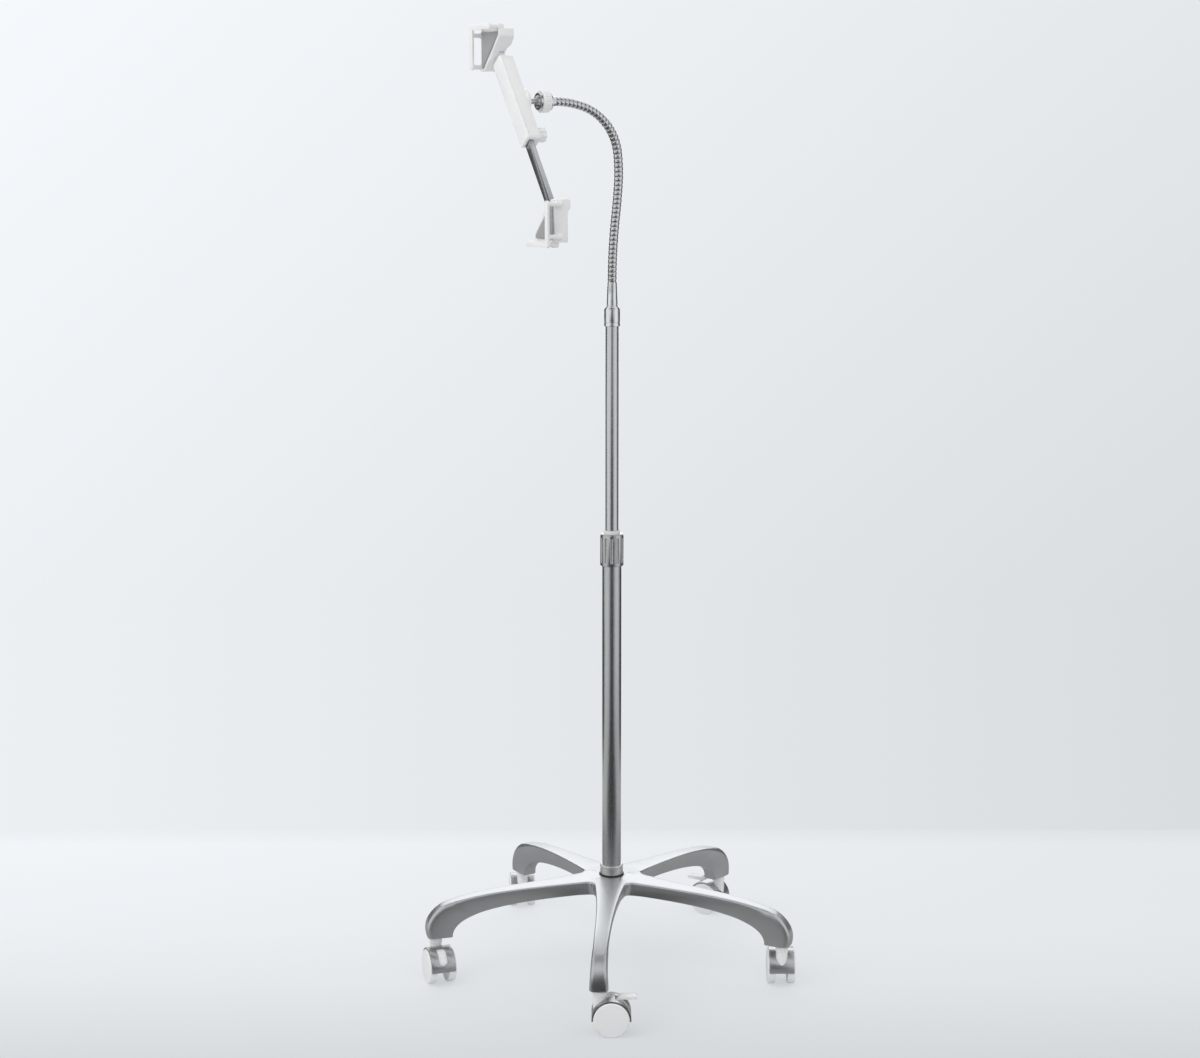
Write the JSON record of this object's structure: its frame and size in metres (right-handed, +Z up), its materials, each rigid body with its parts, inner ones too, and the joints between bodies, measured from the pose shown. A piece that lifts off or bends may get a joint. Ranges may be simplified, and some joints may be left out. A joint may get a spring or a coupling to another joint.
{
  "type": "tablet floor stand",
  "caption": "Rolling floor stand for a tablet: star base on twin-wheel casters, telescopic pole, gooseneck and a corner-grip holder that tilts and turns.",
  "frame": {"origin": "on the floor, under the pole's axis", "axes": "+Z up along the pole, -Y the way that the holder faces, +X to the holder's right"},
  "size_m": [0.5758, 0.5539, 1.3742],
  "materials": {
    "cast_aluminium": "satin cast and brushed",
    "satin_metal": "satin nickel",
    "gooseneck_steel": "satin wound steel",
    "steel": "zinc plated",
    "white_plastic": "moulded, soft gloss",
    "wheel_nylon": "moulded nylon",
    "grey_plastic": "moulded, satin",
    "nylon": "moulded nylon",
    "black_rubber": "matte",
    "pad_rubber": "matte"
  },
  "bodies": {
    "base": {"star_base": "cast_aluminium", "caster_sleeves": "steel", "hub_gasket": "black_rubber", "pole_collar": "satin_metal", "lower_tube": "satin_metal", "tube_plug": "nylon", "pole_bolt": "steel", "lock_collet": "nylon"},
    "lock": {"lock_collar": "satin_metal"},
    "mast": {"upper_tube": "satin_metal", "guide_plug": "nylon"},
    "coupling": {"top_coupling": "satin_metal", "neck_ferrule": "satin_metal"},
    "neck_1": {"neck_link_1": "gooseneck_steel"},
    "neck_2": {"neck_link_2": "gooseneck_steel"},
    "neck_3": {"neck_link_3": "gooseneck_steel"},
    "neck_4": {"neck_link_4": "gooseneck_steel"},
    "neck_5": {"neck_link_5": "gooseneck_steel"},
    "neck_6": {"neck_link_6": "gooseneck_steel"},
    "neck_7": {"neck_link_7": "gooseneck_steel", "ball_socket": "satin_metal"},
    "ring": {"socket_ring": "white_plastic"},
    "ball": {"ball_stud": "steel"},
    "holder": {"holder_spine": "white_plastic", "holder_cover": "white_plastic"},
    "arm": {"slide_arm": "satin_metal"},
    "knob": {"clamp_knob": "white_plastic"},
    "upper_corner": {"upper_block": "white_plastic", "upper_lip": "white_plastic", "upper_pad": "pad_rubber"},
    "lower_corner": {"lower_block": "white_plastic", "lower_lip": "white_plastic", "lower_pad": "pad_rubber"},
    "caster_front": {"caster_front_frame": "white_plastic", "caster_front_hood": "grey_plastic", "caster_front_pins": "steel"},
    "caster_front_wheel_a": {"caster_front_wheel_a": "wheel_nylon"},
    "caster_front_wheel_b": {"caster_front_wheel_b": "wheel_nylon"},
    "brake_front": {"brake_lever_front": "white_plastic"},
    "caster_right": {"caster_right_frame": "white_plastic", "caster_right_hood": "grey_plastic", "caster_right_pins": "steel"},
    "caster_right_wheel_a": {"caster_right_wheel_a": "wheel_nylon"},
    "caster_right_wheel_b": {"caster_right_wheel_b": "wheel_nylon"},
    "caster_back_right": {"caster_back_right_frame": "white_plastic", "caster_back_right_hood": "grey_plastic", "caster_back_right_pins": "steel"},
    "caster_back_right_wheel_a": {"caster_back_right_wheel_a": "wheel_nylon"},
    "caster_back_right_wheel_b": {"caster_back_right_wheel_b": "wheel_nylon"},
    "brake_back_right": {"brake_lever_back_right": "white_plastic"},
    "caster_back_left": {"caster_back_left_frame": "white_plastic", "caster_back_left_hood": "grey_plastic", "caster_back_left_pins": "steel"},
    "caster_back_left_wheel_a": {"caster_back_left_wheel_a": "wheel_nylon"},
    "caster_back_left_wheel_b": {"caster_back_left_wheel_b": "wheel_nylon"},
    "caster_left": {"caster_left_frame": "white_plastic", "caster_left_hood": "grey_plastic", "caster_left_pins": "steel"},
    "caster_left_wheel_a": {"caster_left_wheel_a": "wheel_nylon"},
    "caster_left_wheel_b": {"caster_left_wheel_b": "wheel_nylon"}
  },
  "joints": [
    {"name": "mast_slide", "type": "slide", "parent": "base", "child": "mast", "axis": [0, 0, 1], "range_m": [-0.285, 0.1]},
    {"name": "lock_twist", "type": "hinge", "parent": "base", "child": "lock", "pos_m": [0, 0, 0.654], "axis": [0, 0, 1], "range_deg": [0, 120]},
    {"name": "neck_turn", "type": "hinge", "parent": "mast", "child": "coupling", "pos_m": [0, 0, 0.955], "axis": [0, 0, 1], "range_deg": [-180, 180]},
    {"name": "neck_bend_1", "type": "hinge", "parent": "coupling", "child": "neck_1", "pos_m": [0, 0, 1.0195], "axis": [1, 0, 0], "range_deg": [-8, 8]},
    {"name": "neck_bend_2", "type": "hinge", "parent": "neck_1", "child": "neck_2", "pos_m": [0, 0.00137, 1.06427], "axis": [1, 0, 0], "range_deg": [-8, 8]},
    {"name": "neck_bend_3", "type": "hinge", "parent": "neck_2", "child": "neck_3", "pos_m": [0, 0.00547, 1.10888], "axis": [1, 0, 0], "range_deg": [-8, 8]},
    {"name": "neck_bend_4", "type": "hinge", "parent": "neck_3", "child": "neck_4", "pos_m": [0, 0.00976, 1.15347], "axis": [1, 0, 0], "range_deg": [-8, 8]},
    {"name": "neck_bend_5", "type": "hinge", "parent": "neck_4", "child": "neck_5", "pos_m": [0, 0.00859, 1.19818], "axis": [1, 0, 0], "range_deg": [-8, 8]},
    {"name": "neck_bend_6", "type": "hinge", "parent": "neck_5", "child": "neck_6", "pos_m": [0, -0.00937, 1.23851], "axis": [1, 0, 0], "range_deg": [-8, 8]},
    {"name": "neck_bend_7", "type": "hinge", "parent": "neck_6", "child": "neck_7", "pos_m": [0, -0.04645, 1.26259], "axis": [1, 0, 0], "range_deg": [-8, 8]},
    {"name": "ring_twist", "type": "hinge", "parent": "neck_7", "child": "ring", "pos_m": [0, -0.1121, 1.26919], "axis": [0, -1, 0], "range_deg": [0, 180]},
    {"name": "ball_tilt", "type": "hinge", "parent": "neck_7", "child": "ball", "pos_m": [0, -0.1121, 1.26919], "axis": [1, 0, 0], "range_deg": [-30, 30]},
    {"name": "holder_roll", "type": "hinge", "parent": "ball", "child": "holder", "pos_m": [0, -0.1121, 1.26919], "axis": [0, -1, 0], "range_deg": [-90, 90]},
    {"name": "arm_slide", "type": "slide", "parent": "holder", "child": "arm", "axis": [0.6077, 0, -0.7942], "range_m": [-0.11, 0.008]},
    {"name": "knob_turn", "type": "hinge", "parent": "holder", "child": "knob", "pos_m": [0.03458, -0.1401, 1.224], "axis": [0, -1, 0], "range_deg": [0, 540]},
    {"name": "upper_corner_pivot", "type": "hinge", "parent": "holder", "child": "upper_corner", "pos_m": [-0.05226, -0.1561, 1.33749], "axis": [0, -1, 0], "range_deg": [-12, 12]},
    {"name": "lower_corner_pivot", "type": "hinge", "parent": "arm", "child": "lower_corner", "pos_m": [0.11899, -0.1561, 1.11368], "axis": [0, -1, 0], "range_deg": [-12, 12]},
    {"name": "brake_front_press", "type": "hinge", "parent": "caster_front", "child": "brake_front", "pos_m": [0.23508, -0.1253, 0.043], "axis": [-0.8746, 0.4848, 0], "range_deg": [0, 18]},
    {"name": "brake_back_right_press", "type": "hinge", "parent": "caster_back_right", "child": "brake_back_right", "pos_m": [-0.1154, 0.23742, 0.043], "axis": [0.515, -0.8572, 0], "range_deg": [0, 18]},
    {"name": "caster_front_swivel", "type": "hinge", "parent": "base", "child": "caster_front", "pos_m": [0.22393, -0.14542, 0.0623], "axis": [0, 0, 1], "continuous": true},
    {"name": "caster_right_swivel", "type": "hinge", "parent": "base", "child": "caster_right", "pos_m": [0.2075, 0.16803, 0.0623], "axis": [0, 0, 1], "continuous": true},
    {"name": "caster_back_right_swivel", "type": "hinge", "parent": "base", "child": "caster_back_right", "pos_m": [-0.09568, 0.24927, 0.0623], "axis": [0, 0, 1], "continuous": true},
    {"name": "caster_back_left_swivel", "type": "hinge", "parent": "base", "child": "caster_back_left", "pos_m": [-0.26663, -0.01397, 0.0623], "axis": [0, 0, 1], "continuous": true},
    {"name": "caster_left_swivel", "type": "hinge", "parent": "base", "child": "caster_left", "pos_m": [-0.0691, -0.2579, 0.0623], "axis": [0, 0, 1], "continuous": true},
    {"name": "caster_front_wheel_a_roll", "type": "hinge", "parent": "caster_front", "child": "caster_front_wheel_a", "pos_m": [0.23217, -0.13055, 0.025], "axis": [-0.8746, 0.4848, 0], "continuous": true},
    {"name": "caster_front_wheel_b_roll", "type": "hinge", "parent": "caster_front", "child": "caster_front_wheel_b", "pos_m": [0.23217, -0.13055, 0.025], "axis": [-0.8746, 0.4848, 0], "continuous": true},
    {"name": "caster_right_wheel_a_roll", "type": "hinge", "parent": "caster_right", "child": "caster_right_wheel_a", "pos_m": [0.19263, 0.17627, 0.025], "axis": [-0.4848, -0.8746, 0], "continuous": true},
    {"name": "caster_right_wheel_b_roll", "type": "hinge", "parent": "caster_right", "child": "caster_right_wheel_b", "pos_m": [0.19263, 0.17627, 0.025], "axis": [-0.4848, -0.8746, 0], "continuous": true},
    {"name": "caster_back_right_wheel_a_roll", "type": "hinge", "parent": "caster_back_right", "child": "caster_back_right_wheel_a", "pos_m": [-0.11026, 0.24051, 0.025], "axis": [0.515, -0.8572, 0], "continuous": true},
    {"name": "caster_back_right_wheel_b_roll", "type": "hinge", "parent": "caster_back_right", "child": "caster_back_right_wheel_b", "pos_m": [-0.11026, 0.24051, 0.025], "axis": [0.515, -0.8572, 0], "continuous": true},
    {"name": "caster_back_left_wheel_a_roll", "type": "hinge", "parent": "caster_back_left", "child": "caster_back_left_wheel_a", "pos_m": [-0.28216, -0.00706, 0.025], "axis": [-0.4067, -0.9135, 0], "continuous": true},
    {"name": "caster_back_left_wheel_b_roll", "type": "hinge", "parent": "caster_back_left", "child": "caster_back_left_wheel_b", "pos_m": [-0.28216, -0.00706, 0.025], "axis": [-0.4067, -0.9135, 0], "continuous": true},
    {"name": "caster_left_wheel_a_roll", "type": "hinge", "parent": "caster_left", "child": "caster_left_wheel_a", "pos_m": [-0.05231, -0.26056, 0.025], "axis": [0.1564, 0.9877, 0], "continuous": true},
    {"name": "caster_left_wheel_b_roll", "type": "hinge", "parent": "caster_left", "child": "caster_left_wheel_b", "pos_m": [-0.05231, -0.26056, 0.025], "axis": [0.1564, 0.9877, 0], "continuous": true}
  ]
}
